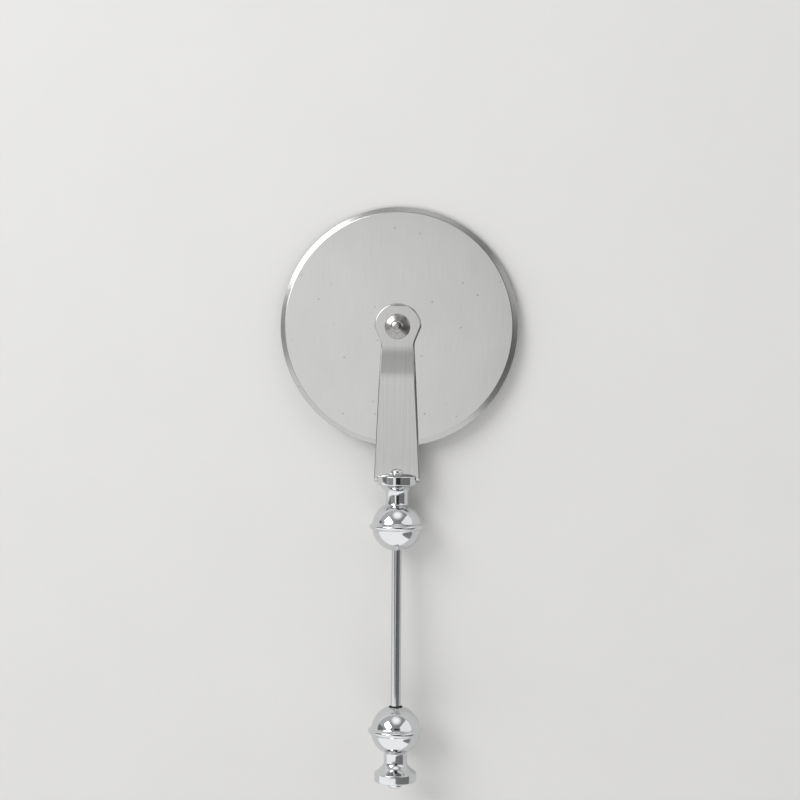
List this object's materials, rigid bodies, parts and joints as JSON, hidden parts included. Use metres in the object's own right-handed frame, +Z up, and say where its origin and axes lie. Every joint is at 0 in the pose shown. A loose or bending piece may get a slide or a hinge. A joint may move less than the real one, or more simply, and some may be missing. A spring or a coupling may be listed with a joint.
{
  "type": "pizza cutter",
  "caption": "Small pizza cutter with a riveted steel wheel in a folded strip fork and a bare rod handle for beads between chromed ball finials, the end one screwing off.",
  "frame": {"origin": "on the table that the cutter lies on, under the middle of its length and width", "axes": "+Z up from the table, +Y along the cutter towards the wheel, +X to the right seen from above; the handle leans up from the table at the cap's end"},
  "size_m": [0.06, 0.1458, 0.018],
  "materials": {
    "blade_steel": "satin polished stainless steel",
    "strip_steel": "steel strip brushed lengthwise",
    "rivet_steel": "bright steel",
    "chrome": "bright chrome plate",
    "rod_steel": "polished steel",
    "black_rubber": "matt black rubber"
  },
  "bodies": {
    "handle": {"fork": "strip_steel", "axle_pin": "rivet_steel", "front_washer": "rivet_steel", "rear_washer": "rivet_steel", "upper_finial": "chrome", "bead_rod": "rod_steel"},
    "wheel": {"cutting_wheel": "blade_steel"},
    "ring": {"stop_ring": "black_rubber"},
    "cap": {"end_cap": "chrome"}
  },
  "joints": [
    {"name": "wheel_spin", "type": "hinge", "parent": "handle", "child": "wheel", "pos_m": [0, 0.04297, 0.00284], "axis": [0, 0.0815, 0.9967], "continuous": true},
    {"name": "cap_travel", "type": "slide", "parent": "handle", "child": "ring", "axis": [0, -0.9967, 0.0815], "range_m": [0, 0.00811]},
    {"name": "cap_turn", "type": "hinge", "parent": "ring", "child": "cap", "pos_m": [0, -0.0523, 0.01064], "axis": [0, -0.9967, 0.0815], "range_deg": [0, 6480]}
  ],
  "couplings": [
    {"joint": "cap_travel", "follows": "cap_turn", "m_per_rad": 0.00007162}
  ]
}
